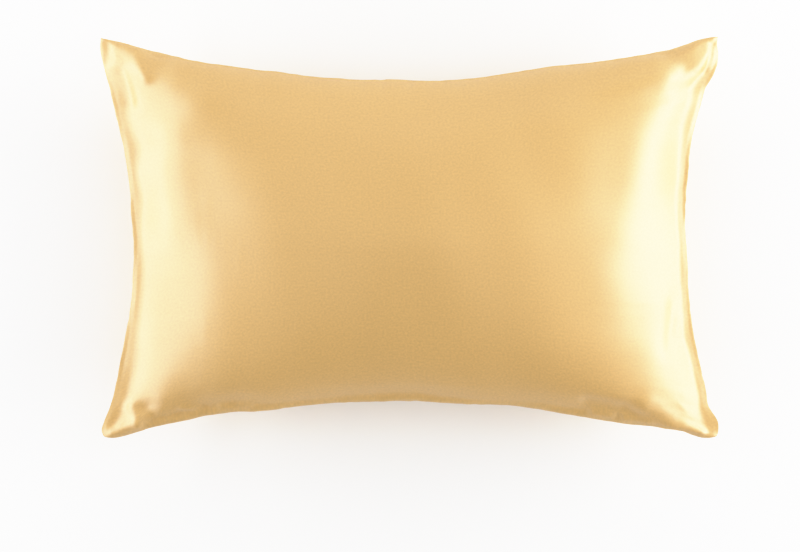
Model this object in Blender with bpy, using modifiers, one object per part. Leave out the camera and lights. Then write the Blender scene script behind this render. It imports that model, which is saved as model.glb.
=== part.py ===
"""A filled pillowcase lying on its back.

Two satin panels of one size are sewn together round their edges and hold one
pillow, so the whole is one closed, filled solid: a crowned front, sides drawn
in between the four corners, thin corner ears, and a back that lies flat on the
floor where the weight rests.

Metres, +Z up.  The origin is on the floor under the middle of the outline,
+X runs along the long side, +Y towards the upper long edge, and +Z out of the
crowned front panel.  The tables below are in millimetres.
"""

import math
from collections import namedtuple

import bmesh
import bpy
from mathutils import Vector

MM = 0.001

# Corner tips of the sewn edge: place, and how far each ear droops.
Corner = namedtuple("Corner", "x y droop")
TOP_LEFT = Corner(x=-377.5, y=244.5, droop=12.0)
TOP_RIGHT = Corner(x=377.0, y=245.5, droop=9.0)
BOTTOM_LEFT = Corner(x=-374.5, y=-245.5, droop=14.0)
BOTTOM_RIGHT = Corner(x=378.0, y=-244.0, droop=11.0)
CORNERS = (TOP_LEFT, TOP_RIGHT, BOTTOM_LEFT, BOTTOM_RIGHT)

# How far each edge is drawn in from the straight line between its corners:
# along runs from 0 to 1, left to right or top to bottom.
Draw = namedtuple("Draw", "along inward")
TOP_EDGE = (
    Draw(0.00, 0.0),
    Draw(0.10, 19.5),
    Draw(0.17, 31.0),
    Draw(0.29, 43.5),
    Draw(0.36, 49.0),
    Draw(0.47, 52.0),
    Draw(0.58, 52.5),
    Draw(0.65, 45.5),
    Draw(0.75, 35.0),
    Draw(0.87, 23.0),
    Draw(0.94, 11.5),
    Draw(0.98, 0.5),
    Draw(1.00, 0.0),
)
BOTTOM_EDGE = (
    Draw(0.00, 0.0),
    Draw(0.03, 1.0),
    Draw(0.06, 8.0),
    Draw(0.13, 21.5),
    Draw(0.20, 31.5),
    Draw(0.26, 33.5),
    Draw(0.38, 43.0),
    Draw(0.50, 45.5),
    Draw(0.58, 41.0),
    Draw(0.66, 39.0),
    Draw(0.78, 24.5),
    Draw(0.84, 17.0),
    Draw(0.93, 9.0),
    Draw(0.97, 0.5),
    Draw(1.00, 0.0),
)
LEFT_EDGE = (
    Draw(0.00, 0.0),
    Draw(0.06, 3.5),
    Draw(0.13, 12.0),
    Draw(0.21, 21.0),
    Draw(0.36, 34.5),
    Draw(0.54, 40.0),
    Draw(0.66, 36.0),
    Draw(0.80, 23.0),
    Draw(0.92, 9.0),
    Draw(0.96, 1.0),
    Draw(1.00, 0.0),
)
RIGHT_EDGE = (
    Draw(0.00, 0.0),
    Draw(0.06, -1.5),
    Draw(0.09, 4.0),
    Draw(0.13, 16.0),
    Draw(0.24, 31.5),
    Draw(0.30, 35.5),
    Draw(0.45, 40.5),
    Draw(0.62, 37.5),
    Draw(0.70, 34.0),
    Draw(0.84, 20.0),
    Draw(0.92, 11.5),
    Draw(0.96, 0.0),
    Draw(1.00, 0.0),
)

# Body of the filled case: how it rises from its sides and from its long edges,
# how softly the two rises run together, and how thin it is in the corners.
# The folds fade out where it is thinner than FOLD_ONSET.
SEAM_HEIGHT = 92.0
CROWN_HEIGHT = 104.0
BACK_DEPTH = 150.0
SIDE_ROUNDNESS = 1.87
SIDE_RISE = 0.91
TOP_ROUNDNESS = 1.69
BOTTOM_ROUNDNESS = 1.43
LONG_EDGE_RISE = 0.63
BLEND = 2.8
LEAST_RISE = 1e-6
CORNER_FLATNESS = 0.30
CORNER_REACH = 55.0
DROOP_REACH = 120.0
SEAM_LIP = 3.0
FOLD_ONSET = 0.25

# The back starts to flatten at BACK_KNEE below the seam and lies on the floor.
BACK_KNEE = 79.0

# Main folds of the front panel: soft troughs (height below 0) and ridges.
Fold = namedtuple("Fold", "x_start y_start x_end y_end width height")
FOLDS = (
    # upper left corner: ear ridge, pocket, bump beside it, trough along the edge
    Fold(-362.0, 232.0, -338.0, 200.0, width=10.0, height=5.0),
    Fold(-326.0, 226.0, -310.0, 190.0, width=13.0, height=-8.0),
    Fold(-296.0, 204.0, -290.0, 196.0, width=13.0, height=5.0),
    Fold(-352.0, 187.0, -334.0, 114.0, width=8.0, height=-4.0),
    # lower left corner: ridge, pocket, small trough
    Fold(-333.0, -189.0, -353.0, -222.0, width=8.0, height=5.0),
    Fold(-331.0, -201.0, -314.0, -222.0, width=9.0, height=-6.0),
    Fold(-288.0, -196.0, -288.0, -210.0, width=8.0, height=-3.0),
    # lower right corner: hollow along the edge, pocket, bump, ridge, ear fold
    Fold(215.0, -202.0, 260.0, -208.0, width=12.0, height=-6.0),
    Fold(292.0, -206.0, 275.0, -222.0, width=10.0, height=-6.0),
    Fold(301.0, -206.0, 304.0, -208.0, width=10.0, height=4.0),
    Fold(347.0, -206.0, 346.0, -233.0, width=8.0, height=5.0),
    Fold(353.0, -187.0, 358.0, -218.0, width=7.0, height=-4.0),
    # upper right corner: pocket, ridge into the side, trough along the edge
    Fold(343.0, 228.0, 342.0, 206.0, width=13.0, height=-7.0),
    Fold(366.0, 226.0, 330.0, 174.0, width=9.0, height=5.0),
    Fold(351.0, 184.0, 332.0, 118.0, width=8.0, height=-4.0),
)

# Cage: columns and rows of the panel, closer together towards the seam.
COLUMNS = 26
ROWS = 20
EDGE_GRADING = 1.8
CAGE_LEVELS = 1

SATIN_COLOUR = (0.73, 0.47, 0.18, 1.0)
SATIN_ROUGHNESS = 0.38


def clear_scene():
    for old in list(bpy.data.objects):
        bpy.data.objects.remove(old, do_unlink=True)


def new_collection(name):
    collection = bpy.data.collections.new(name)
    bpy.context.scene.collection.children.link(collection)
    return collection


def satin_material():
    material = bpy.data.materials.new("satin")
    material.use_nodes = True
    shader = material.node_tree.nodes["Principled BSDF"]
    shader.inputs["Base Color"].default_value = SATIN_COLOUR
    shader.inputs["Roughness"].default_value = SATIN_ROUGHNESS
    shader.inputs["Metallic"].default_value = 0.0
    material.diffuse_color = SATIN_COLOUR
    return material


def slope_at(rows, index):
    """Slope of the smooth curve through the rows, at one of them."""
    before = rows[max(index - 1, 0)]
    after = rows[min(index + 1, len(rows) - 1)]
    return (after.inward - before.inward) / (after.along - before.along)


def drawn_in(rows, along):
    """Inward draw at a place along an edge, on a smooth curve through its rows."""
    index = 0
    while index < len(rows) - 2 and along > rows[index + 1].along:
        index += 1
    start = rows[index]
    end = rows[index + 1]
    span = end.along - start.along
    t = (along - start.along) / span
    rise = end.inward - start.inward
    start_slope = slope_at(rows, index) * span
    end_slope = slope_at(rows, index + 1) * span
    bend = (1.0 - t) * (start_slope - rise) - t * (end_slope - rise)
    return start.inward + t * rise + t * (1.0 - t) * bend


def edge_point(start, end, rows, along, inward):
    """A point of the sewn edge, seen from above."""
    line = Vector((start.x, start.y)).lerp(Vector((end.x, end.y)), along)
    return line + Vector(inward) * drawn_in(rows, along)


def outline_point(across, down):
    """Place in plan of a point of the cloth, blended from the four edges."""
    top = edge_point(TOP_LEFT, TOP_RIGHT, TOP_EDGE, across, (0.0, -1.0))
    bottom = edge_point(BOTTOM_LEFT, BOTTOM_RIGHT, BOTTOM_EDGE, across, (0.0, 1.0))
    left = edge_point(TOP_LEFT, BOTTOM_LEFT, LEFT_EDGE, down, (1.0, 0.0))
    right = edge_point(TOP_RIGHT, BOTTOM_RIGHT, RIGHT_EDGE, down, (-1.0, 0.0))
    upper = Vector(TOP_LEFT[:2]).lerp(Vector(TOP_RIGHT[:2]), across)
    lower = Vector(BOTTOM_LEFT[:2]).lerp(Vector(BOTTOM_RIGHT[:2]), across)
    return top.lerp(bottom, down) + left.lerp(right, across) - upper.lerp(lower, down)


def corner_weight(place, reach):
    """How near a point in plan is to each corner tip: 1 there, fading to 0."""
    weights = []
    for corner in CORNERS:
        distance = (place - Vector((corner.x, corner.y))).length
        weights.append(math.exp(-((distance / reach) ** 2)))
    return weights


def fullness(across, down, place):
    """Share of the full height: 1 in the middle, 0 at the seam, thin at the corners."""
    roundness = TOP_ROUNDNESS if down < 0.5 else BOTTOM_ROUNDNESS
    from_sides = max(1.0 - abs(2.0 * across - 1.0) ** SIDE_ROUNDNESS, LEAST_RISE) ** SIDE_RISE
    from_edges = max(1.0 - abs(2.0 * down - 1.0) ** roundness, LEAST_RISE) ** LONG_EDGE_RISE
    thinning = 1.0 - CORNER_FLATNESS * max(corner_weight(place, CORNER_REACH))
    return (from_sides**-BLEND + from_edges**-BLEND - 1.0) ** (-1.0 / BLEND) * thinning


def fold_height(place):
    """Rise or fall of the front panel where the main folds run."""
    height = 0.0
    for fold in FOLDS:
        start = Vector((fold.x_start, fold.y_start))
        run = Vector((fold.x_end, fold.y_end)) - start
        share = (place - start).dot(run) / run.length_squared
        nearest = start + run * min(max(share, 0.0), 1.0)
        distance = (place - nearest).length
        height += fold.height * math.exp(-((distance / fold.width) ** 2))
    return height


def flattened(depth):
    """Depth of the back below the seam, rounded off onto the floor."""
    flat_from = 2.0 * SEAM_HEIGHT - BACK_KNEE
    if depth <= BACK_KNEE:
        return depth
    if depth >= flat_from:
        return SEAM_HEIGHT
    return depth - (depth - BACK_KNEE) ** 2 / (2.0 * (flat_from - BACK_KNEE))


def panel_point(across, down, is_front):
    """A point of the front or back panel, in millimetres."""
    place = outline_point(across, down)
    full = fullness(across, down, place)
    weights = corner_weight(place, DROOP_REACH)
    droop = sum(corner.droop * weight for corner, weight in zip(CORNERS, weights))
    if is_front:
        onset = min(full / FOLD_ONSET, 1.0)
        rise = max(CROWN_HEIGHT * full + fold_height(place) * onset, 0.0)
        height = SEAM_HEIGHT - droop + SEAM_LIP / 2.0 + rise
    else:
        depth = min(BACK_DEPTH * full + droop + SEAM_LIP / 2.0, 2.0 * SEAM_HEIGHT)
        height = SEAM_HEIGHT - flattened(depth)
    return Vector((place.x, place.y, height)) * MM


def graded(share):
    """Moves the cage's lines, from -1 to 1, closer together towards the seam."""
    return math.copysign(1.0 - (1.0 - abs(share)) ** EDGE_GRADING, share)


def crease_seam(bm):
    """Keeps the sewn edge and its corner tips sharp when the cage is rounded."""
    edge_crease = bm.edges.layers.float.new("crease_edge")
    tip_crease = bm.verts.layers.float.new("crease_vert")
    for edge in bm.edges:
        edge[edge_crease] = float(edge.is_boundary)
    for vert in bm.verts:
        vert[tip_crease] = float(len(vert.link_faces) == 1)


def make_pillowcase(collection):
    mesh = bpy.data.meshes.new("pillowcase")
    bm = bmesh.new()
    bmesh.ops.create_grid(bm, x_segments=COLUMNS, y_segments=ROWS, size=1.0)
    crease_seam(bm)
    back_faces = bm.faces[:]
    result = bmesh.ops.extrude_face_region(bm, geom=back_faces, use_keep_orig=True)
    front_verts = {item for item in result["geom"] if isinstance(item, bmesh.types.BMVert)}
    bmesh.ops.reverse_faces(bm, faces=back_faces)
    for vert in bm.verts:
        across = 0.5 + 0.5 * graded(vert.co.x)
        down = 0.5 - 0.5 * graded(vert.co.y)
        vert.co = panel_point(across, down, is_front=vert in front_verts)
    bmesh.ops.recalc_face_normals(bm, faces=bm.faces[:])
    bm.to_mesh(mesh)
    bm.free()
    mesh.shade_smooth()
    mesh.materials.append(satin_material())
    pillowcase = bpy.data.objects.new("pillowcase", mesh)
    collection.objects.link(pillowcase)
    rounding = pillowcase.modifiers.new("soft form", "SUBSURF")
    rounding.levels = CAGE_LEVELS
    rounding.render_levels = CAGE_LEVELS
    return pillowcase


def main():
    clear_scene()
    make_pillowcase(new_collection("filled pillowcase"))


main()
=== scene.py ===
"""A filled satin pillowcase lying on its back, seen from straight above.

The cloth starts as two flat grids, front and back, joined round the edge.  It
is laid on the filled shape, settled by a cloth simulation, and then the folds
of its corners, the puckers of its seam and its press creases are worked in.
Tables are in millimetres; everything that goes into a mesh is in metres.
"""

from collections import namedtuple

import bmesh
import bpy
import math
import numpy as np
from mathutils import Euler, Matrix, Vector


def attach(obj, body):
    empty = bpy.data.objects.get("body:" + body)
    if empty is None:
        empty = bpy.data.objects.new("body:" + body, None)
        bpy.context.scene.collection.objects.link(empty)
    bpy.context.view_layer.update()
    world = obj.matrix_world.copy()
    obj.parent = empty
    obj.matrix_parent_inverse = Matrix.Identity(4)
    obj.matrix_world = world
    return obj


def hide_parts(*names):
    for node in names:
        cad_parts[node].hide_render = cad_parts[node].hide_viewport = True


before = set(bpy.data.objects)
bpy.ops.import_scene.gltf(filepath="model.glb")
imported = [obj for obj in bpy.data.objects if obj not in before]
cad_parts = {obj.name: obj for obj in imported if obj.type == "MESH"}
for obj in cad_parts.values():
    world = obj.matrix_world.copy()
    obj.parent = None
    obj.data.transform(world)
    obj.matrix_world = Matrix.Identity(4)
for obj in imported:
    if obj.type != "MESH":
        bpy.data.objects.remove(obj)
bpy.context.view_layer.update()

bl_info = {
    "name": "Filled pillowcase",
    "version": (1, 0, 0),
    "blender": (4, 5, 0),
    "location": "View3D > Sidebar > Pillowcase",
    "description": "Sews, fills and lights a satin pillowcase",
    "category": "Object",
}

MM = 0.001

# Corner tips of the seam: place, how far each ear droops, and how blunt it is
# within BLUNT_REACH of the tip.
Corner = namedtuple("Corner", "x y droop blunt")
TOP_LEFT = Corner(x=-378.0, y=245.2, droop=12.0, blunt=0.5)
TOP_RIGHT = Corner(x=379.0, y=247.0, droop=9.0, blunt=1.5)
BOTTOM_LEFT = Corner(x=-376.0, y=-246.0, droop=14.0, blunt=3.5)
BOTTOM_RIGHT = Corner(x=379.0, y=-245.0, droop=11.0, blunt=3.5)
CORNERS = (TOP_LEFT, TOP_RIGHT, BOTTOM_LEFT, BOTTOM_RIGHT)
BLUNT_REACH = 14.0

# How far each edge is drawn in from the straight line between its corners:
# along runs from 0 to 1, left to right or top to bottom.
Draw = namedtuple("Draw", "along inward")
TOP_EDGE = (
    Draw(0.00, 0.0),
    Draw(0.03, 5.5),
    Draw(0.10, 19.8),
    Draw(0.17, 31.8),
    Draw(0.22, 37.0),
    Draw(0.29, 44.0),
    Draw(0.36, 50.4),
    Draw(0.47, 53.5),
    Draw(0.58, 53.7),
    Draw(0.62, 50.8),
    Draw(0.67, 44.3),
    Draw(0.75, 35.5),
    Draw(0.81, 31.0),
    Draw(0.87, 24.3),
    Draw(0.94, 12.0),
    Draw(0.975, 2.7),
    Draw(1.00, 0.0),
)
BOTTOM_EDGE = (
    Draw(0.00, 0.0),
    Draw(0.03, 2.2),
    Draw(0.06, 9.4),
    Draw(0.13, 21.9),
    Draw(0.18, 30.2),
    Draw(0.20, 32.1),
    Draw(0.26, 34.0),
    Draw(0.32, 40.2),
    Draw(0.39, 44.8),
    Draw(0.50, 46.0),
    Draw(0.53, 45.7),
    Draw(0.58, 43.1),
    Draw(0.65, 41.2),
    Draw(0.71, 35.9),
    Draw(0.78, 26.1),
    Draw(0.84, 18.9),
    Draw(0.91, 12.2),
    Draw(0.94, 8.8),
    Draw(0.97, 1.0),
    Draw(1.00, 0.0),
)
LEFT_EDGE = (
    Draw(0.00, 0.0),
    Draw(0.03, -0.2),
    Draw(0.06, 3.0),
    Draw(0.095, 6.8),
    Draw(0.13, 11.8),
    Draw(0.21, 21.1),
    Draw(0.28, 29.4),
    Draw(0.36, 35.0),
    Draw(0.43, 38.0),
    Draw(0.54, 40.8),
    Draw(0.66, 36.6),
    Draw(0.73, 31.5),
    Draw(0.80, 23.6),
    Draw(0.92, 10.4),
    Draw(0.955, 3.3),
    Draw(0.98, -0.7),
    Draw(1.00, 0.0),
)
RIGHT_EDGE = (
    Draw(0.00, 0.0),
    Draw(0.02, 1.5),
    Draw(0.045, 0.6),
    Draw(0.065, 1.1),
    Draw(0.095, 6.8),
    Draw(0.13, 16.8),
    Draw(0.17, 22.4),
    Draw(0.245, 32.2),
    Draw(0.28, 35.7),
    Draw(0.36, 39.4),
    Draw(0.45, 42.3),
    Draw(0.54, 40.0),
    Draw(0.62, 38.6),
    Draw(0.70, 34.7),
    Draw(0.77, 28.8),
    Draw(0.845, 19.9),
    Draw(0.88, 15.8),
    Draw(0.905, 14.2),
    Draw(0.92, 12.4),
    Draw(0.935, 8.2),
    Draw(0.955, 2.2),
    Draw(0.985, 0.1),
    Draw(1.00, 0.0),
)

# Body of the filled case: how it rises from its sides and from its long edges,
# how softly the two rises run together, and how thin it is in the corners.
SIDE_ROUNDNESS = 1.87
SIDE_RISE = 0.91
TOP_ROUNDNESS = 1.69
BOTTOM_ROUNDNESS = 1.43
LONG_EDGE_RISE = 0.63
BLEND = 2.8
CORNER_FLATNESS = 0.30
CORNER_REACH = 55.0
DROOP_REACH = 120.0
LEAST_FULL = 1e-6

# The back hangs deeper than the front rises by BACK_EXTRA, and from BACK_KNEE
# below the seam it is rounded off onto the floor.
BACK_KNEE = 79.0
BACK_EXTRA = 46.0

# The cloth: the size it was cut to, the grid it settles on, and the finer grid
# that shows.  Grid lines lie closer together towards the seam.
CUT_LENGTH = 760.0
CUT_WIDTH = 494.0
COARSE_COLUMNS = 66
COARSE_ROWS = 46
REFINE = 4
EDGE_GRADING = 1.25
BACK = 0
FRONT = 1

# Settling of the cloth on its filling.  SETTLE_CAP is as far as a point may move,
# and within SETTLE_FADE of the floor the back keeps its place.
SETTLE_FRAMES = 20
CLOTH_PRESSURE = 4.0
CLOTH_MASS = 0.15
CLOTH_TENSION = 15.0
CLOTH_SHEAR = 4.5
CLOTH_BENDING = 0.2
CLOTH_DAMPING = 5.0
SETTLE_CAP = 9.0
SETTLE_FADE = 30.0

# Seam: thickness of the sewn edge, the groove beside it, its puckers, which come in
# patches, and how it wanders from a smooth line.
SEAM_LIP = 1.4
GROOVE_PLACE = 3.0
GROOVE_WIDTH = 1.7
GROOVE_DEPTH = 0.15
Pucker = namedtuple("Pucker", "wavelength reach height")
PUCKERS = (
    Pucker(wavelength=5.5, reach=6.0, height=1.6),
    Pucker(wavelength=10.0, reach=11.0, height=1.8),
    Pucker(wavelength=29.0, reach=24.0, height=1.0),
)
PUCKER_ONSET = 2.0
PUCKER_SHARES = (0.55, 0.9, 0.15, 0.15)  # top, bottom, left, right
PUCKER_PATCH = 70.0
PATCH_LEVEL = 0.55
PATCH_SWING = 0.45
Wander = namedtuple("Wander", "wavelength height")
SEAM_WANDERS = (Wander(wavelength=24.0, height=0.5), Wander(wavelength=8.0, height=0.35))
SEAM_WANDER_ONSET = 24.0

# Rims: beside each side seam a strip of cloth rises less steeply than the rest.
# along runs from 0 at the top corner to 1 at the bottom corner; easing is how much
# of its slope the strip loses.  BOTTOM_LIP is such a strip above the bottom seam,
# along it from left to right.
Rim = namedtuple("Rim", "along width easing")
LEFT_RIM = (
    Rim(0.00, 8.0, 0.00),
    Rim(0.06, 8.0, 0.00),
    Rim(0.10, 12.0, 0.16),
    Rim(0.16, 15.0, 0.29),
    Rim(0.21, 14.0, 0.33),
    Rim(0.27, 18.0, 0.35),
    Rim(0.33, 12.0, 0.35),
    Rim(0.41, 14.0, 0.33),
    Rim(0.50, 9.5, 0.31),
    Rim(0.58, 12.0, 0.35),
    Rim(0.66, 12.0, 0.36),
    Rim(0.73, 14.0, 0.37),
    Rim(0.81, 18.0, 0.40),
    Rim(0.87, 16.0, 0.47),
    Rim(0.92, 16.0, 0.44),
    Rim(0.95, 15.0, 0.42),
    Rim(0.975, 12.0, 0.25),
    Rim(1.00, 8.0, 0.00),
)
RIGHT_RIM = (
    Rim(0.00, 8.0, 0.00),
    Rim(0.06, 10.0, 0.05),
    Rim(0.11, 17.0, 0.37),
    Rim(0.16, 15.0, 0.37),
    Rim(0.21, 16.0, 0.36),
    Rim(0.27, 12.0, 0.35),
    Rim(0.33, 11.0, 0.34),
    Rim(0.41, 11.0, 0.35),
    Rim(0.50, 8.5, 0.36),
    Rim(0.58, 10.0, 0.38),
    Rim(0.66, 9.0, 0.38),
    Rim(0.73, 12.0, 0.40),
    Rim(0.81, 9.5, 0.43),
    Rim(0.87, 10.5, 0.45),
    Rim(0.92, 11.0, 0.40),
    Rim(0.95, 15.0, 0.40),
    Rim(0.97, 15.0, 0.36),
    Rim(1.00, 8.0, 0.00),
)
BOTTOM_LIP = (
    Rim(0.00, 4.0, 0.00),
    Rim(0.06, 4.0, 0.00),
    Rim(0.12, 5.0, 0.60),
    Rim(0.17, 6.0, 1.10),
    Rim(0.24, 6.0, 1.15),
    Rim(0.28, 4.5, 0.70),
    Rim(0.34, 4.0, 0.50),
    Rim(0.42, 5.0, 0.90),
    Rim(0.50, 5.0, 1.00),
    Rim(0.57, 4.0, 0.80),
    Rim(0.64, 3.0, 0.40),
    Rim(0.72, 4.5, 0.80),
    Rim(0.80, 5.0, 1.00),
    Rim(0.87, 5.0, 1.10),
    Rim(0.91, 4.0, 0.50),
    Rim(0.95, 4.0, 0.10),
    Rim(1.00, 4.0, 0.00),
)
RIM_SHARPNESS = 6
RIM_REACH = 140.0
LIP_REACH = 20.0

# Filling: soft unevenness of the whole panel.
LUMP_LENGTH = 130.0
LUMP_SPREAD = (0.6, 1.4)
LUMP_HEIGHT = 0.5
LUMP_WAVES = 7

# Random draws: one seed for each panel, and a step to that of its pucker patches.
FRONT_SEED = 11
BACK_SEED = 211
PATCH_SEED = 50

# Folds worked into a panel: a soft ridge (height above 0) or trough along a
# bent line, which may widen from one end to the other.  They fade out within
# FOLD_ONSET of the seam.
Fold = namedtuple(
    "Fold", "x_start y_start x_bend y_bend x_end y_end start_width end_width height"
)
TOP_LEFT_FOLDS = (
    # hollow at the tip, ear ridge, wide pocket, bump, and hollow down the side
    Fold(-370, 238, -368, 228, -368, 219, 7, 7, -2.0),
    Fold(-338, 233, -331, 214, -321, 194, 13, 8, 3.0),
    Fold(-304, 233, -303, 223, -300, 212, 20, 15, -3.2),
    Fold(-281, 212, -280, 205, -276, 198, 12, 14, 0.8),
    Fold(-352, 202, -345, 185, -343, 166, 8, 9, -1.9),
)
BOTTOM_LEFT_FOLDS = (
    # ear ridge with its pocket, lip of the ear and wide hollow
    Fold(-341, -206, -337, -216, -331, -227, 8, 8, 2.6),
    Fold(-321, -208, -316, -217, -310, -228, 12, 10, -3.4),
    Fold(-364, -238, -350, -234, -334, -230, 5, 6, 1.6),
    Fold(-271, -199, -276, -207, -285, -219, 32, 28, -3.8),
)
BOTTOM_RIGHT_FOLDS = (
    # long hollow, bump with a small hollow, ridge along the seam, and lip of the ear
    Fold(215, -201, 238, -205, 256, -209, 9, 8, -3.2),
    Fold(256, -204, 258, -210, 261, -217, 13, 12, 1.0),
    Fold(265, -210, 269, -214, 274, -218, 8, 8, -2.4),
    Fold(287, -211, 305, -220, 326, -230, 16, 11, 5.2),
    Fold(338, -231, 346, -234, 358, -238, 6, 5, 2.2),
    Fold(348, -240, 357, -242, 366, -243, 3, 3, -1.0),
)
BOTTOM_SEAM_FOLDS = (
    # small lips and creases of the bottom seam, from left to right
    Fold(-277, -213, -264, -214, -252, -213, 4, 4, 2.4),
    Fold(-251, -211, -247, -213, -243, -215, 3, 3, -1.6),
    Fold(-229, -210, -222, -210, -215, -209, 4, 4, 2.4),
    Fold(-206, -208, -200, -208, -193, -207, 4, 4, 2.8),
    Fold(-9, -198, -2, -197, 5, -197, 4, 4, 1.8),
    Fold(9, -199, 12, -198, 16, -198, 3, 3, 1.6),
    Fold(150, -208, 158, -209, 166, -210, 4, 4, 1.6),
    Fold(221, -216, 233, -218, 246, -220, 4, 4, 3.0),
    Fold(262, -223, 276, -224, 292, -226, 4, 4, 3.4),
)
TOP_RIGHT_FOLDS = (
    # wide pocket under the top edge, ear ridge and the tuck beside it
    Fold(318, 230, 324, 217, 334, 207, 20, 14, -2.9),
    Fold(369, 226, 354, 209, 341, 192, 9, 9, 1.5),
    Fold(371, 236, 368, 222, 362, 204, 4, 4, -1.2),
)
BAND_SWELLS = (
    # broad soft swells that make the two bright bands uneven
    Fold(-288, 118, -290, 72, -284, 26, 26, 30, 2.6),
    Fold(-245, 215, -243, 190, -245, 172, 28, 28, 2.6),
    Fold(318, 170, 278, 110, 266, 10, 28, 34, 3.0),
    Fold(310, -90, 306, -115, 300, -135, 25, 25, 1.0),
)
SIDE_FOLDS = (
    # a soft hollow and ridge low on the right side, and press creases on the left
    Fold(322, -82, 322, -108, 317, -134, 9, 9, -1.0),
    Fold(330, -95, 330, -105, 329, -115, 6, 6, 0.7),
    Fold(-275, -5, -150, -7, -40, -14, 5, 6, 0.15),
    Fold(-243, 50, -244, 25, -242, 0, 6, 6, 0.08),
    Fold(-256, 25, -257, 12, -256, 0, 6, 6, 0.08),
    Fold(-203, -20, -204, -32, -202, -45, 6, 6, 0.10),
    Fold(-246, -98, -247, -110, -247, -122, 7, 7, 0.15),
)
FRONT_FOLDS = (
    TOP_LEFT_FOLDS
    + BOTTOM_LEFT_FOLDS
    + BOTTOM_RIGHT_FOLDS
    + BOTTOM_SEAM_FOLDS
    + TOP_RIGHT_FOLDS
    + BAND_SWELLS
    + SIDE_FOLDS
)
BACK_FOLDS = (
    # two soft hollows and a ridge in each corner of the hidden panel
    Fold(-350, 222, -330, 200, -305, 178, 8, 16, 3.0),
    Fold(-318, 226, -305, 205, -296, 182, 12, 9, -4.0),
    Fold(-357, 196, -345, 160, -336, 120, 7, 10, -2.5),
    Fold(352, 222, 335, 202, 308, 176, 8, 15, 3.0),
    Fold(322, 224, 310, 205, 300, 186, 12, 9, -3.5),
    Fold(358, 190, 343, 160, 333, 118, 7, 10, -2.5),
    Fold(-350, -222, -332, -204, -306, -180, 8, 15, 3.0),
    Fold(-316, -222, -306, -204, -297, -184, 11, 9, -3.5),
    Fold(-355, -190, -345, -160, -336, -122, 7, 10, -2.5),
    Fold(353, -222, 334, -203, 306, -178, 8, 16, 3.0),
    Fold(318, -224, 307, -206, 298, -182, 12, 9, -4.0),
    Fold(358, -192, 345, -158, 335, -120, 7, 10, -2.5),
)
FOLD_STEPS = 24
FOLD_REACH = 3.0
FOLD_ONSET = 5.0

# Satin: UV distance between the two panels, the turn of the gloss, and the detail
# of the cloth.  Patterns run from their first to their last tone over TONE_RANGE.
CLOTH_MAP = "cut_cloth"
UV_GAP = 0.5
ALONG_WEFT = 0.25
TONE_RANGE = (0.3, 0.7)
COLOUR_SPREAD = 0.10
SLUB_SCALE = (60.0, 900.0, 1.0)
SLUB_DETAIL = 2.0
SLUB_STRENGTH = 0.3
SLUB_HEIGHT = 0.00006
MOTTLING_SCALE = 9.0
MOTTLING_DETAIL = 3.0
MOTTLING_SHARE = 0.5
GRAIN_SCALE = 340.0
GRAIN_DETAIL = 1.0
GRAIN_SHARE = 0.7
WAVE_PERIOD = 0.31
FLOAT_LENGTH = 5.0
FLOAT_DISTORTION = 1.5
FLOAT_DETAIL_SCALE = 0.5
STEP_DISTORTION = 3.0
STEP_DETAIL_SCALE = 2.0
STEP_SHARE = 0.35
WEAVE_STRENGTH = 0.3
WEAVE_HEIGHT = 0.00003

# Gloss: it varies a little over the cloth, and grows rougher by up to EDGE_ROUGHNESS
# as the cloth is seen edge on.
ROUGHNESS_SPREAD = 0.02
EDGE_ROUGHNESS = 0.57
SCATTER_FROM = 0.60
SCATTER_FULL = 0.86

# Stage: the photo's frame seen from straight above, on a floor that shows white.
# Softboxes stand low on both sides; elevation is above the floor, in degrees.
FLOOR_SIZE = 12.0
FLOOR_ROUGHNESS = 0.9
CAMERA_TARGET = (-11.2, -46.7, 92.0)
CAMERA_DISTANCE = 3.0
VIEW_WIDTH = 0.976
SENSOR = 36.0
EVEN_DAYLIGHT = 0.05
SOFTBOX_TARGET = (0.0, 0.0, 0.1)
SOFTBOX_DISTANCE = 2.0
Softbox = namedtuple("Softbox", "name azimuth elevation width height power")
SOFTBOXES = (
    Softbox("left_low_strip", azimuth=176, elevation=12, width=2.4, height=0.36, power=22.5),
    Softbox("left_high_strip", azimuth=176, elevation=30, width=2.4, height=0.36, power=14.0),
    Softbox("right_low_strip", azimuth=4, elevation=12, width=2.4, height=0.36, power=18.5),
    Softbox("right_middle_strip", azimuth=4, elevation=21, width=2.4, height=0.36, power=16.0),
    Softbox("right_high_strip", azimuth=4, elevation=30, width=2.4, height=0.36, power=13.0),
    Softbox("far_strip", azimuth=90, elevation=29, width=2.4, height=0.6, power=9.0),
    Softbox("overhead", azimuth=90, elevation=89, width=1.6, height=1.6, power=4.8),
)

# Film: light up to the knee shows as it is, and brighter light rolls off softly.
# The curve has a point at each of the steps.
FILM_KNEE = 0.78
FILM_TOP = 1.6
FILM_STEPS = (0.4, 0.78, 0.86, 0.94, 1.03, 1.14, 1.30)


class PillowcaseSizes(bpy.types.PropertyGroup):
    """Driving sizes of the filled case."""

    seam_height: bpy.props.FloatProperty(
        name="Seam height",
        description="Height of the seam above the floor, half way along a side",
        default=0.092,
        unit="LENGTH",
    )
    crown: bpy.props.FloatProperty(
        name="Crown",
        description="Rise of the front panel above the seam",
        default=0.104,
        unit="LENGTH",
    )
    fold_depth: bpy.props.FloatProperty(
        name="Fold depth",
        description="Share of their full height that the corner folds and puckers get",
        default=1.0,
        subtype="FACTOR",
        min=0.0,
        max=2.0,
    )


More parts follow.
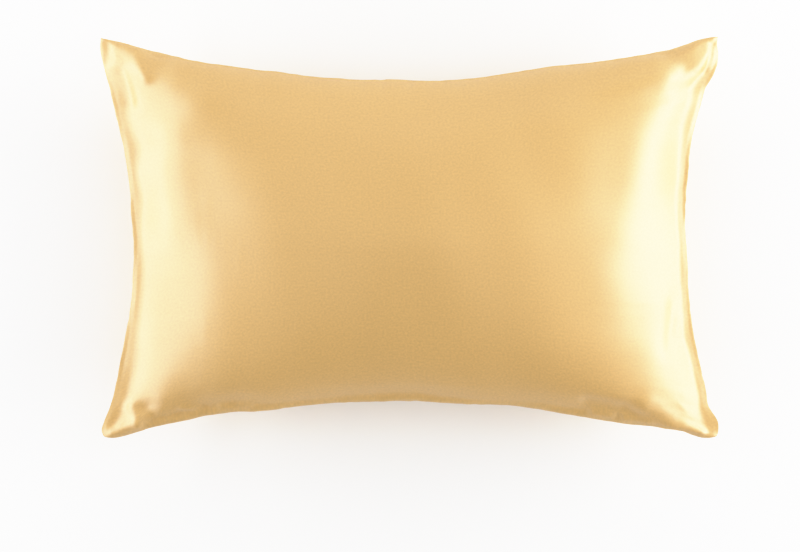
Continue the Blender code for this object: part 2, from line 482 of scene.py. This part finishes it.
class SatinLook(bpy.types.PropertyGroup):
    """Colours, gloss and weave of the satin."""

    colour: bpy.props.FloatVectorProperty(
        name="Champagne gold",
        description="Colour of the satin under even light",
        subtype="COLOR",
        size=3,
        min=0.0,
        max=1.0,
        default=(0.61, 0.374, 0.121),
    )
    roughness: bpy.props.FloatProperty(
        name="Roughness",
        description="Spread of the satin's highlight",
        default=0.43,
        subtype="FACTOR",
        min=0.0,
        max=1.0,
    )
    streak: bpy.props.FloatProperty(
        name="Streak",
        description="How far the highlight is drawn out along the weft",
        default=0.75,
        subtype="FACTOR",
        min=0.0,
        max=1.0,
    )
    index: bpy.props.FloatProperty(
        name="Gloss",
        description="Refractive index that sets the strength of the gloss",
        default=1.9,
        min=1.0,
        max=3.0,
    )
    thread: bpy.props.FloatProperty(
        name="Thread pitch",
        description="Distance between two threads of the weave",
        default=0.0004,
        unit="LENGTH",
    )


class PillowcaseStudio(bpy.types.PropertyGroup):
    """Brightness of the stage."""

    daylight: bpy.props.FloatProperty(
        name="Daylight",
        description="Strength of the soft light that comes from both sides",
        default=1.2,
        min=0.0,
    )
    floor: bpy.props.FloatProperty(
        name="Floor",
        description="Lightness of the floor",
        default=0.97,
        subtype="FACTOR",
        min=0.0,
        max=1.0,
    )


def smooth_curve(rows, column, along):
    """A table's column at many places along an edge, on a smooth curve through its rows."""
    places = np.array([row.along for row in rows])
    values = np.array([getattr(row, column) for row in rows])
    slopes = np.gradient(values, places)
    index = np.clip(np.searchsorted(places, along, side="right") - 1, 0, len(rows) - 2)
    span = places[index + 1] - places[index]
    t = (along - places[index]) / span
    rise = values[index + 1] - values[index]
    bend = (1 - t) * (slopes[index] * span - rise) - t * (slopes[index + 1] * span - rise)
    return values[index] + t * rise + t * (1 - t) * bend


def edge_points(start, end, rows, along, inward):
    """Points of the seam, seen from above, with its small wander."""
    start_tip = np.array(start[:2])
    end_tip = np.array(end[:2])
    line = start_tip + along[:, None] * (end_tip - start_tip)
    length = np.linalg.norm(end_tip - start_tip)
    places = along * length
    wander = sum(row.height * wavy(places, row.wavelength, len(rows)) for row in SEAM_WANDERS)
    wander *= smooth_step(np.minimum(along, 1 - along) * length, SEAM_WANDER_ONSET)
    return line + np.array(inward) * (smooth_curve(rows, "inward", along) + wander)[:, None]


def plan_places(across, down):
    """Places of the cloth seen from above, row by row, blended from the four edges."""
    top = edge_points(TOP_LEFT, TOP_RIGHT, TOP_EDGE, across, (0.0, -1.0))[None]
    bottom = edge_points(BOTTOM_LEFT, BOTTOM_RIGHT, BOTTOM_EDGE, across, (0.0, 1.0))[None]
    left = edge_points(TOP_LEFT, BOTTOM_LEFT, LEFT_EDGE, down, (1.0, 0.0))[:, None]
    right = edge_points(TOP_RIGHT, BOTTOM_RIGHT, RIGHT_EDGE, down, (-1.0, 0.0))[:, None]
    u = across[None, :, None]
    v = down[:, None, None]
    tips = [np.array(corner[:2]) for corner in CORNERS]
    flat = (1 - v) * ((1 - u) * tips[0] + u * tips[1]) + v * ((1 - u) * tips[2] + u * tips[3])
    places = (1 - v) * top + v * bottom + (1 - u) * left + u * right - flat
    for corner, tip in zip(CORNERS, tips):
        distance = np.linalg.norm(places - tip, axis=-1, keepdims=True)
        nearness = np.clip(1 - distance / BLUNT_REACH, 0, None) ** 2
        places = places - corner.blunt * nearness * np.sign(tip) * np.sqrt(0.5)
    return places


def corner_weights(places, reach):
    """How near each place is to each corner tip: 1 there, fading to 0."""
    tips = np.array([corner[:2] for corner in CORNERS])
    distance = np.linalg.norm(places[..., None, :] - tips, axis=-1)
    return np.exp(-((distance / reach) ** 2))


def grid_lines(count):
    """Shares from 0 to 1 of the grid's lines, closer together towards both ends."""
    share = np.linspace(-1.0, 1.0, count + 1)
    return 0.5 + 0.5 * np.sign(share) * (1 - (1 - np.abs(share)) ** EDGE_GRADING)


def smooth_step(value, end):
    """0 at 0, 1 from end on, smooth between."""
    t = np.clip(value / end, 0.0, 1.0)
    return t * t * (3 - 2 * t)


def flattened(depth, seam_height):
    """Depth of the back below the seam, rounded off onto the floor."""
    flat_from = 2 * seam_height - BACK_KNEE
    eased = depth - (depth - BACK_KNEE) ** 2 / (2 * (flat_from - BACK_KNEE))
    return np.where(depth <= BACK_KNEE, depth, np.where(depth >= flat_from, seam_height, eased))


def fullness(across, down):
    """How far the filling lifts the cloth: 0 on the seam, 1 at the crown."""
    roundness = np.where(down < 0.5, TOP_ROUNDNESS, BOTTOM_ROUNDNESS)
    from_sides = 1 - np.abs(2 * across - 1) ** SIDE_ROUNDNESS
    from_edges = 1 - np.abs(2 * down - 1) ** roundness
    side_rise = np.clip(from_sides, LEAST_FULL, None)[None, :] ** SIDE_RISE
    edge_rise = np.clip(from_edges, LEAST_FULL, None)[:, None] ** LONG_EDGE_RISE
    return (side_rise**-BLEND + edge_rise**-BLEND - 1) ** (-1 / BLEND)


def filled_panels(across, down, sizes):
    """Back and front panel blown up by their filling, in millimetres."""
    seam_height = sizes.seam_height / MM
    crown = sizes.crown / MM
    places = plan_places(across, down)
    in_corner = corner_weights(places, CORNER_REACH).max(axis=-1)
    full = fullness(across, down) * (1 - CORNER_FLATNESS * in_corner)
    droops = np.array([corner.droop for corner in CORNERS])
    droop = corner_weights(places, DROOP_REACH) @ droops
    upper = seam_height - droop + SEAM_LIP / 2 + crown * full
    depth = (crown + BACK_EXTRA) * full + droop + SEAM_LIP / 2
    lower = seam_height - flattened(depth, seam_height)
    return np.stack([np.dstack([places, lower]), np.dstack([places, upper])])


def seam_distance(across, down):
    """Distance in the cloth from the nearest seam, in millimetres."""
    from_sides = CUT_LENGTH * np.minimum(across, 1 - across)
    from_ends = CUT_WIDTH * np.minimum(down, 1 - down)
    return np.minimum(from_sides[None, :], from_ends[:, None])


def cut_cloth(across, down):
    """Back and front panel as they were cut, flat, in millimetres."""
    x = np.broadcast_to((across - 0.5)[None, :] * CUT_LENGTH, (len(down), len(across)))
    y = np.broadcast_to((0.5 - down)[:, None] * CUT_WIDTH, (len(down), len(across)))
    lip = np.full(x.shape, SEAM_LIP / 2)
    return np.stack([np.dstack([x, y, -lip]), np.dstack([x, y, lip])])


def sewn_grid(name, columns, rows):
    """Two grids of cloth joined round the edge, and each vertex's panel, row and column."""
    bm = bmesh.new()
    bmesh.ops.create_grid(bm, x_segments=columns, y_segments=rows, size=1.0)
    result = bmesh.ops.extrude_face_region(bm, geom=bm.faces[:], use_keep_orig=True)
    front = [item for item in result["geom"] if isinstance(item, bmesh.types.BMVert)]
    bmesh.ops.translate(bm, verts=front, vec=(0.0, 0.0, 1.0))
    bmesh.ops.recalc_face_normals(bm, faces=bm.faces[:])
    mesh = bpy.data.meshes.new(name)
    bm.to_mesh(mesh)
    bm.free()
    grid = read_points(mesh)
    panel = np.where(grid[:, 2] > 0.5, FRONT, BACK)
    column = np.rint((grid[:, 0] + 1) / 2 * columns).astype(int)
    row = np.rint((1 - grid[:, 1]) / 2 * rows).astype(int)
    return mesh, (panel, row, column)


def read_points(mesh):
    """Places of a mesh's vertices, one row each."""
    flat = np.empty(len(mesh.vertices) * 3)
    mesh.vertices.foreach_get("co", flat)
    return flat.reshape(-1, 3)


def write_points(points_owner, points):
    """Puts vertices or shape key points at the given places."""
    points_owner.foreach_set("co", np.ascontiguousarray(points, dtype=float).ravel())


def settle_cloth(sizes):
    """How far each point of the two panels moves when the cloth settles, in millimetres."""
    across = grid_lines(COARSE_COLUMNS)
    down = grid_lines(COARSE_ROWS)
    mesh, order = sewn_grid("settling_cloth", COARSE_COLUMNS, COARSE_ROWS)
    start = filled_panels(across, down, sizes)
    write_points(mesh.vertices, start[order] * MM)
    cloth = bpy.data.objects.new("settling_cloth", mesh)
    bpy.context.scene.collection.objects.link(cloth)
    cloth.shape_key_add(name="Basis")
    cut = cloth.shape_key_add(name="cut")
    write_points(cut.data, cut_cloth(across, down)[order] * MM)
    cut.value = 0.0
    seam = cloth.vertex_groups.new(name="seam")
    on_seam = seam_distance(across, down)[order[1:]] < MM
    seam.add(np.flatnonzero(on_seam).tolist(), 1.0, "REPLACE")
    modifier = cloth.modifiers.new("settle", "CLOTH")
    modifier.collision_settings.use_collision = False
    modifier.point_cache.frame_start = 1
    modifier.point_cache.frame_end = SETTLE_FRAMES
    settings = modifier.settings
    settings.mass = CLOTH_MASS
    settings.tension_stiffness = CLOTH_TENSION
    settings.compression_stiffness = CLOTH_TENSION
    settings.shear_stiffness = CLOTH_SHEAR
    settings.bending_stiffness = CLOTH_BENDING
    settings.tension_damping = CLOTH_DAMPING
    settings.compression_damping = CLOTH_DAMPING
    settings.shear_damping = CLOTH_DAMPING
    settings.use_pressure = True
    settings.uniform_pressure_force = CLOTH_PRESSURE
    settings.effector_weights.gravity = 0.0
    settings.rest_shape_key = cut
    settings.vertex_group_mass = seam.name
    for frame_number in range(1, SETTLE_FRAMES + 1):
        bpy.context.scene.frame_set(frame_number)
    settled = cloth.evaluated_get(bpy.context.evaluated_depsgraph_get())
    moved = np.zeros_like(start)
    moved[order] = read_points(settled.data) / MM
    moved -= start
    bpy.data.objects.remove(cloth, do_unlink=True)
    bpy.data.meshes.remove(mesh)
    bpy.context.scene.frame_set(1)
    return moved


def refine_table(coarse):
    """Weights that carry values from coarse grid lines to the finer ones, smoothly."""
    lines = np.arange(coarse * REFINE + 1) / REFINE
    start = np.minimum(lines.astype(int), coarse - 1)
    t = lines - start
    weights = (
        (-1, -0.5 * t + t**2 - 0.5 * t**3),
        (0, 1 - 2.5 * t**2 + 1.5 * t**3),
        (1, 0.5 * t + 2 * t**2 - 1.5 * t**3),
        (2, -0.5 * t**2 + 0.5 * t**3),
    )
    table = np.zeros((len(lines), coarse + 1))
    for step, weight in weights:
        np.add.at(table, (np.arange(len(lines)), np.clip(start + step, 0, coarse)), weight)
    return table


def settled_panels(across, down, sizes):
    """The filled panels after the cloth has settled, on the fine grid."""
    moved = settle_cloth(sizes)
    length = np.linalg.norm(moved, axis=-1, keepdims=True)
    moved *= SETTLE_CAP * np.tanh(length / SETTLE_CAP) / np.maximum(length, MM)
    down_table = refine_table(COARSE_ROWS)
    across_table = refine_table(COARSE_COLUMNS)
    moved = np.einsum("ri,cj,pijk->prck", down_table, across_table, moved, optimize=True)
    panels = filled_panels(across, down, sizes)
    lift = smooth_step(panels[BACK, ..., 2], SETTLE_FADE)
    moved[BACK] *= lift[..., None]
    return panels + moved


def wavy(places, wavelength, seed):
    """Smooth seeded noise from -1 to 1 along a line."""
    knots = int(places.max() / wavelength) + 2
    heights = np.random.default_rng(seed).uniform(-1, 1, knots + 1)
    index = (places / wavelength).astype(int)
    t = places / wavelength - index
    t = t * t * (3 - 2 * t)
    return heights[index] * (1 - t) + heights[index + 1] * t


def seam_puckers(across, down, seed):
    """Small gathers beside the seam, in millimetres."""
    height = np.zeros((len(down), len(across)))
    edges = (
        (across[None, :] * CUT_LENGTH, down[:, None] * CUT_WIDTH),
        (across[None, :] * CUT_LENGTH, (1 - down[:, None]) * CUT_WIDTH),
        (down[:, None] * CUT_WIDTH, across[None, :] * CUT_LENGTH),
        (down[:, None] * CUT_WIDTH, (1 - across[None, :]) * CUT_LENGTH),
    )
    for number, (along, inward) in enumerate(edges):
        patches = wavy(along, PUCKER_PATCH, seed + PATCH_SEED + number)
        share = PUCKER_SHARES[number] * (PATCH_LEVEL + PATCH_SWING * patches)
        for pucker in PUCKERS:
            seed += 1
            wave = wavy(along, pucker.wavelength, seed)
            fade = np.exp(-inward / pucker.reach) * smooth_step(inward, PUCKER_ONSET)
            height += pucker.height * share * wave * fade
    return height


def seam_groove(distance):
    """Dip of the panel beside its sewn edge, in millimetres."""
    return -GROOVE_DEPTH * np.exp(-(((distance - GROOVE_PLACE) / GROOVE_WIDTH) ** 2))


def rim_hollow(rows, distance, along, reach):
    """Low strip of cloth beside a seam, in millimetres."""
    width = smooth_curve(rows, "width", along)
    easing = smooth_curve(rows, "easing", along)
    drop = easing * distance / (1 + (distance / width) ** RIM_SHARPNESS) ** (1 / RIM_SHARPNESS)
    return -drop * np.exp(-((distance / reach) ** 2))


def lumps(places, seed):
    """Soft unevenness of the filling, in millimetres."""
    rng = np.random.default_rng(seed)
    height = np.zeros(places.shape[:-1])
    for _ in range(LUMP_WAVES):
        turn = rng.uniform(0, 2 * np.pi)
        length = LUMP_LENGTH * rng.uniform(*LUMP_SPREAD)
        along = places[..., 0] * np.cos(turn) + places[..., 1] * np.sin(turn)
        height += np.sin(2 * np.pi * along / length + rng.uniform(0, 2 * np.pi))
    return LUMP_HEIGHT * height / np.sqrt(LUMP_WAVES)


def worked_folds(folds, places):
    """Rise or fall of a panel where its folds run, in millimetres."""
    height = np.zeros(places.shape[:-1])
    t = np.linspace(0.0, 1.0, FOLD_STEPS)
    for fold in folds:
        start, bend, end = np.array(fold[:6], dtype=float).reshape(3, 2)
        line = np.outer((1 - t) ** 2, start) + np.outer(2 * t * (1 - t), bend)
        line += np.outer(t**2, end)
        widths = fold.start_width + t * (fold.end_width - fold.start_width)
        reach = FOLD_REACH * widths.max()
        past_low = places > line.min(axis=0) - reach
        below_high = places < line.max(axis=0) + reach
        near = np.all(past_low & below_high, axis=-1)
        gaps = np.linalg.norm(places[near][:, None] - line, axis=-1) / widths
        height[near] += fold.height * np.exp(-(gaps.min(axis=1) ** 2))
    return height


def outward(panels):
    """Unit normals of the two panels, pointing out of the case."""
    rightward = np.gradient(panels, axis=2)
    downward = np.gradient(panels, axis=1)
    normals = np.cross(downward, rightward)
    normals[BACK] *= -1
    return normals / np.maximum(np.linalg.norm(normals, axis=-1, keepdims=True), 1e-9)


def worked_panels(panels, across, down, sizes):
    """The settled panels with their folds, puckers, seam groove and lumps worked in."""
    distance = seam_distance(across, down)
    inside = smooth_step(distance, FOLD_ONSET)
    normals = outward(panels)
    x = across[None]
    y = down[:, None]
    rims = rim_hollow(LEFT_RIM, x * CUT_LENGTH, y, RIM_REACH)
    rims = rims + rim_hollow(RIGHT_RIM, (1 - x) * CUT_LENGTH, y, RIM_REACH)
    rims = rims + rim_hollow(BOTTOM_LIP, (1 - y) * CUT_WIDTH, x, LIP_REACH)
    for panel, folds, seed in ((FRONT, FRONT_FOLDS, FRONT_SEED), (BACK, BACK_FOLDS, BACK_SEED)):
        height = worked_folds(folds, panels[panel][..., :2]) * inside
        height += seam_puckers(across, down, seed) + rims
        height *= sizes.fold_depth
        height += seam_groove(distance) + lumps(panels[panel], seed) * inside
        if panel == BACK:
            height *= smooth_step(panels[BACK, ..., 2], SETTLE_FADE)
        panels[panel] += normals[panel] * height[..., None]
    panels[BACK, ..., 2] = np.maximum(panels[BACK, ..., 2], 0.0)
    return panels


def lay_out(mesh, order, across, down):
    """UV map in metres of the cut cloth, the back panel beside the front."""
    layer = mesh.uv_layers.new(name=CLOTH_MAP)
    corner_verts = np.empty(len(mesh.loops), dtype=int)
    mesh.loops.foreach_get("vertex_index", corner_verts)
    panel, row, column = (index[corner_verts] for index in order)
    u = across[column] * CUT_LENGTH * MM
    v = (1 - down[row]) * CUT_WIDTH * MM + np.where(panel == BACK, UV_GAP, 0.0)
    layer.data.foreach_set("uv", np.column_stack((u, v)).ravel())


def crisp_seam(mesh, order, across, down):
    """Keeps the shading of each panel clear of the sewn edge's narrow side."""
    on_seam = seam_distance(across, down)[order[1:]] < MM
    ends = np.empty(len(mesh.edges) * 2, dtype=int)
    mesh.edges.foreach_get("vertices", ends)
    mesh.edges.foreach_set("use_edge_sharp", on_seam[ends].reshape(-1, 2).all(axis=1))


def add_node(nodes, kind, x, y, **settings):
    """A shader node at its place in the editor, with its settings."""
    node = nodes.new(kind)
    node.location = (x, y)
    for name, value in settings.items():
        setattr(node, name, value)
    return node


def add_noise(nodes, x, y, scale, detail):
    """A noise texture of the given scale and detail."""
    noise = add_node(nodes, "ShaderNodeTexNoise", x, y)
    noise.inputs["Scale"].default_value = scale
    noise.inputs["Detail"].default_value = detail
    return noise


def add_bands(nodes, y, direction, scale, distortion, detail_scale):
    """A wave texture of threads side by side."""
    bands = add_node(
        nodes, "ShaderNodeTexWave", -950, y, wave_type="BANDS", bands_direction=direction
    )
    bands.inputs["Scale"].default_value = scale
    bands.inputs["Distortion"].default_value = distortion
    bands.inputs["Detail Scale"].default_value = detail_scale
    return bands


def add_share(nodes, x, y, share):
    """A mix of two values, with the second one's share."""
    mix = add_node(nodes, "ShaderNodeMix", x, y, data_type="FLOAT")
    mix.inputs["Factor"].default_value = share
    return mix


def add_bump(nodes, x, strength, height):
    """A bump of the given height in metres."""
    bump = add_node(nodes, "ShaderNodeBump", x, -250)
    bump.inputs["Strength"].default_value = strength
    bump.inputs["Distance"].default_value = height
    return bump


def satin_material(look):
    """Champagne satin: long glossy floats over a fine weave, with slubs and faint mottling."""
    material = bpy.data.materials.new("champagne_satin")
    material.use_nodes = True
    nodes = material.node_tree.nodes
    link = material.node_tree.links.new
    shader = nodes["Principled BSDF"]
    shader.inputs["IOR"].default_value = look.index
    shader.inputs["Anisotropic"].default_value = look.streak
    shader.inputs["Anisotropic Rotation"].default_value = ALONG_WEFT

    cloth_map = add_node(nodes, "ShaderNodeUVMap", -1400, 0, uv_map=CLOTH_MAP)
    tangent = add_node(nodes, "ShaderNodeTangent", -200, -500, direction_type="UV_MAP")
    tangent.uv_map = CLOTH_MAP
    link(tangent.outputs["Tangent"], shader.inputs["Tangent"])

    # slubs: threads a little thicker or thinner than their neighbours
    slub_map = add_node(nodes, "ShaderNodeMapping", -1150, 250)
    slub_map.inputs["Scale"].default_value = SLUB_SCALE
    slubs = add_noise(nodes, -950, 250, 1.0, SLUB_DETAIL)
    link(cloth_map.outputs["UV"], slub_map.inputs["Vector"])
    link(slub_map.outputs["Vector"], slubs.inputs["Vector"])

    # mottling: how the dye and the light take a little differently over the panel
    place = add_node(nodes, "ShaderNodeTexCoord", -1400, 600)
    mottling = add_noise(nodes, -950, 600, MOTTLING_SCALE, MOTTLING_DETAIL)
    link(place.outputs["Object"], mottling.inputs["Vector"])
    both = add_share(nodes, -700, 450, MOTTLING_SHARE)
    link(slubs.outputs["Fac"], both.inputs["A"])
    link(mottling.outputs["Fac"], both.inputs["B"])

    # grain: how single threads catch the light
    grain = add_noise(nodes, -950, 850, GRAIN_SCALE, GRAIN_DETAIL)
    link(cloth_map.outputs["UV"], grain.inputs["Vector"])
    shades = add_share(nodes, -700, 700, GRAIN_SHARE)
    link(both.outputs["Result"], shades.inputs["A"])
    link(grain.outputs["Fac"], shades.inputs["B"])
    tones = add_node(nodes, "ShaderNodeValToRGB", -450, 450)
    ends = zip(tones.color_ramp.elements, TONE_RANGE, (1 - COLOUR_SPREAD, 1 + COLOUR_SPREAD))
    for element, position, strength in ends:
        element.position = position
        element.color = (*(min(channel * strength, 1.0) for channel in look.colour), 1.0)
    link(shades.outputs["Result"], tones.inputs["Fac"])
    link(tones.outputs["Color"], shader.inputs["Base Color"])

    gloss = add_node(nodes, "ShaderNodeMapRange", -450, 150)
    gloss.inputs["From Min"].default_value, gloss.inputs["From Max"].default_value = TONE_RANGE
    gloss.inputs["To Min"].default_value = look.roughness - ROUGHNESS_SPREAD
    gloss.inputs["To Max"].default_value = look.roughness + ROUGHNESS_SPREAD
    link(both.outputs["Result"], gloss.inputs["Value"])
    # seen edge on, the round threads scatter the light that a flat film would mirror
    edge_on = add_node(nodes, "ShaderNodeLayerWeight", -950, 1100)
    edge_on.inputs["Blend"].default_value = 0.5
    scatter = add_node(
        nodes, "ShaderNodeMapRange", -700, 1000, interpolation_type="SMOOTHSTEP"
    )
    scatter.inputs["From Min"].default_value = SCATTER_FROM
    scatter.inputs["From Max"].default_value = SCATTER_FULL
    scatter.inputs["To Max"].default_value = EDGE_ROUGHNESS
    rough = add_node(nodes, "ShaderNodeMath", -200, 150, operation="ADD", use_clamp=True)
    link(edge_on.outputs["Facing"], scatter.inputs["Value"])
    link(gloss.outputs["Result"], rough.inputs[0])
    link(scatter.outputs["Result"], rough.inputs[1])
    link(rough.outputs["Value"], shader.inputs["Roughness"])

    # weave: floats along the weft, crossed by the finer steps of the binding warp
    float_scale = WAVE_PERIOD / look.thread
    step_scale = WAVE_PERIOD / (look.thread * FLOAT_LENGTH)
    floats = add_bands(nodes, -100, "Y", float_scale, FLOAT_DISTORTION, FLOAT_DETAIL_SCALE)
    steps = add_bands(nodes, -400, "X", step_scale, STEP_DISTORTION, STEP_DETAIL_SCALE)
    link(cloth_map.outputs["UV"], floats.inputs["Vector"])
    link(cloth_map.outputs["UV"], steps.inputs["Vector"])
    woven = add_share(nodes, -700, -250, STEP_SHARE)
    link(floats.outputs["Fac"], woven.inputs["A"])
    link(steps.outputs["Fac"], woven.inputs["B"])
    weave = add_bump(nodes, -450, WEAVE_STRENGTH, WEAVE_HEIGHT)
    link(woven.outputs["Result"], weave.inputs["Height"])
    uneven = add_bump(nodes, -200, SLUB_STRENGTH, SLUB_HEIGHT)
    link(slubs.outputs["Fac"], uneven.inputs["Height"])
    link(weave.outputs["Normal"], uneven.inputs["Normal"])
    link(uneven.outputs["Normal"], shader.inputs["Normal"])
    return material


class PILLOWCASE_OT_cloth(bpy.types.Operator):
    """Sew, fill and settle the satin pillowcase"""

    bl_idname = "pillowcase.cloth"
    bl_label = "Sew and fill the pillowcase"

    def execute(self, context):
        sizes = context.scene.pillowcase_sizes
        columns = COARSE_COLUMNS * REFINE
        rows = COARSE_ROWS * REFINE
        across = grid_lines(columns)
        down = grid_lines(rows)
        panels = settled_panels(across, down, sizes)
        panels = worked_panels(panels, across, down, sizes)
        mesh, order = sewn_grid("satin_pillowcase", columns, rows)
        write_points(mesh.vertices, panels[order] * MM)
        mesh.update()
        lay_out(mesh, order, across, down)
        mesh.shade_smooth()
        crisp_seam(mesh, order, across, down)
        mesh.materials.append(satin_material(context.scene.satin_look))
        piece = bpy.data.objects.new("satin_pillowcase", mesh)
        context.scene.collection.objects.link(piece)
        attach(piece, "root")
        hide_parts("pillowcase")
        return {"FINISHED"}


def add_floor(albedo):
    """A plain pale floor."""
    bm = bmesh.new()
    bmesh.ops.create_grid(bm, x_segments=1, y_segments=1, size=FLOOR_SIZE / 2)
    mesh = bpy.data.meshes.new("floor")
    bm.to_mesh(mesh)
    bm.free()
    floor = bpy.data.objects.new("floor", mesh)
    bpy.context.scene.collection.objects.link(floor)
    material = bpy.data.materials.new("pale_floor")
    material.use_nodes = True
    shader = material.node_tree.nodes["Principled BSDF"]
    shader.inputs["Base Color"].default_value = (albedo, albedo, albedo, 1.0)
    shader.inputs["Roughness"].default_value = FLOOR_ROUGHNESS
    shader.inputs["Specular IOR Level"].default_value = 0.0
    mesh.materials.append(material)


def add_softbox(row):
    """A softbox that faces the middle of the pillow."""
    light = bpy.data.lights.new(row.name, "AREA")
    light.shape = "RECTANGLE"
    light.size = row.width
    light.size_y = row.height
    light.energy = row.power
    lamp = bpy.data.objects.new(row.name, light)
    bpy.context.scene.collection.objects.link(lamp)
    turn = Euler((0.0, -math.radians(row.elevation), math.radians(row.azimuth)))
    outwards = turn.to_matrix() @ Vector((1.0, 0.0, 0.0))
    lamp.location = Vector(SOFTBOX_TARGET) + outwards * SOFTBOX_DISTANCE
    lamp.rotation_euler = (-outwards).to_track_quat("-Z", "Y").to_euler()


def add_camera():
    """The camera, straight above and looking down, with the photo's frame."""
    data = bpy.data.cameras.new("camera")
    data.sensor_width = SENSOR
    data.lens = SENSOR * CAMERA_DISTANCE / VIEW_WIDTH
    camera = bpy.data.objects.new("camera", data)
    bpy.context.scene.collection.objects.link(camera)
    camera.location = Vector(CAMERA_TARGET) * MM + Vector((0, 0, CAMERA_DISTANCE))
    bpy.context.scene.camera = camera


def add_daylight(strength):
    """Soft light all round that is strongest from the two sides."""
    world = bpy.data.worlds.new("studio")
    world.use_nodes = True
    nodes = world.node_tree.nodes
    link = world.node_tree.links.new
    background = nodes["Background"]
    background.inputs["Color"].default_value = (1.0, 1.0, 1.0, 1.0)
    direction = add_node(nodes, "ShaderNodeTexCoord", -800, 0)
    parts = add_node(nodes, "ShaderNodeSeparateXYZ", -600, 0)
    sideways = add_node(nodes, "ShaderNodeMath", -400, 0, operation="ABSOLUTE")
    brightness = add_node(nodes, "ShaderNodeMath", -200, 0, operation="MULTIPLY_ADD")
    brightness.inputs[1].default_value = strength * (1 - EVEN_DAYLIGHT)
    brightness.inputs[2].default_value = strength * EVEN_DAYLIGHT
    link(direction.outputs["Generated"], parts.inputs["Vector"])
    link(parts.outputs["X"], sideways.inputs[0])
    link(sideways.outputs["Value"], brightness.inputs[0])
    link(brightness.outputs["Value"], background.inputs["Strength"])
    bpy.context.scene.world = world


def set_film(view):
    """Rolls bright light off softly to white, as the photo's film does."""
    view.view_transform = "Standard"
    view.use_curve_mapping = True
    view.curve_mapping.white_level = (FILM_TOP, FILM_TOP, FILM_TOP)
    curve = view.curve_mapping.curves[3]
    for light in FILM_STEPS:
        past_knee = max(light - FILM_KNEE, 0.0) / (1 - FILM_KNEE)
        shown = min(light, FILM_KNEE) + (1 - FILM_KNEE) * (1 - math.exp(-past_knee))
        curve.points.new(light / FILM_TOP, shown)
    for point in curve.points:
        point.handle_type = "AUTO_CLAMPED"
    view.curve_mapping.update()


class PILLOWCASE_OT_stage(bpy.types.Operator):
    """Set up the floor, the softboxes, the daylight and the camera"""

    bl_idname = "pillowcase.stage"
    bl_label = "Set up the stage"

    def execute(self, context):
        studio = context.scene.pillowcase_studio
        add_floor(studio.floor)
        for row in SOFTBOXES:
            add_softbox(row)
        add_camera()
        add_daylight(studio.daylight)
        set_film(context.scene.view_settings)
        return {"FINISHED"}


class PILLOWCASE_PT_sidebar(bpy.types.Panel):
    """Sizes, look and stage of the pillowcase"""

    bl_idname = "PILLOWCASE_PT_sidebar"
    bl_label = "Pillowcase"
    bl_space_type = "VIEW_3D"
    bl_region_type = "UI"
    bl_category = "Pillowcase"

    def draw(self, context):
        groups = (
            (context.scene.pillowcase_sizes, PILLOWCASE_OT_cloth),
            (context.scene.satin_look, None),
            (context.scene.pillowcase_studio, PILLOWCASE_OT_stage),
        )
        for group, operator in groups:
            box = self.layout.box()
            for name in group.bl_rna.properties.keys():
                if name not in ("rna_type", "name"):
                    box.prop(group, name)
            if operator:
                box.operator(operator.bl_idname)


CLASSES = (
    PillowcaseSizes,
    SatinLook,
    PillowcaseStudio,
    PILLOWCASE_OT_cloth,
    PILLOWCASE_OT_stage,
    PILLOWCASE_PT_sidebar,
)


def register():
    """Adds the classes and the scene's settings."""
    for cls in CLASSES:
        bpy.utils.register_class(cls)
    bpy.types.Scene.pillowcase_sizes = bpy.props.PointerProperty(type=PillowcaseSizes)
    bpy.types.Scene.satin_look = bpy.props.PointerProperty(type=SatinLook)
    bpy.types.Scene.pillowcase_studio = bpy.props.PointerProperty(type=PillowcaseStudio)


def unregister():
    """Takes the settings and classes away again."""
    del bpy.types.Scene.pillowcase_studio
    del bpy.types.Scene.satin_look
    del bpy.types.Scene.pillowcase_sizes
    for cls in reversed(CLASSES):
        bpy.utils.unregister_class(cls)


def main():
    """Builds the pillowcase and its stage."""
    register()
    bpy.ops.pillowcase.cloth()
    bpy.ops.pillowcase.stage()


if __name__ == "__main__":
    main()
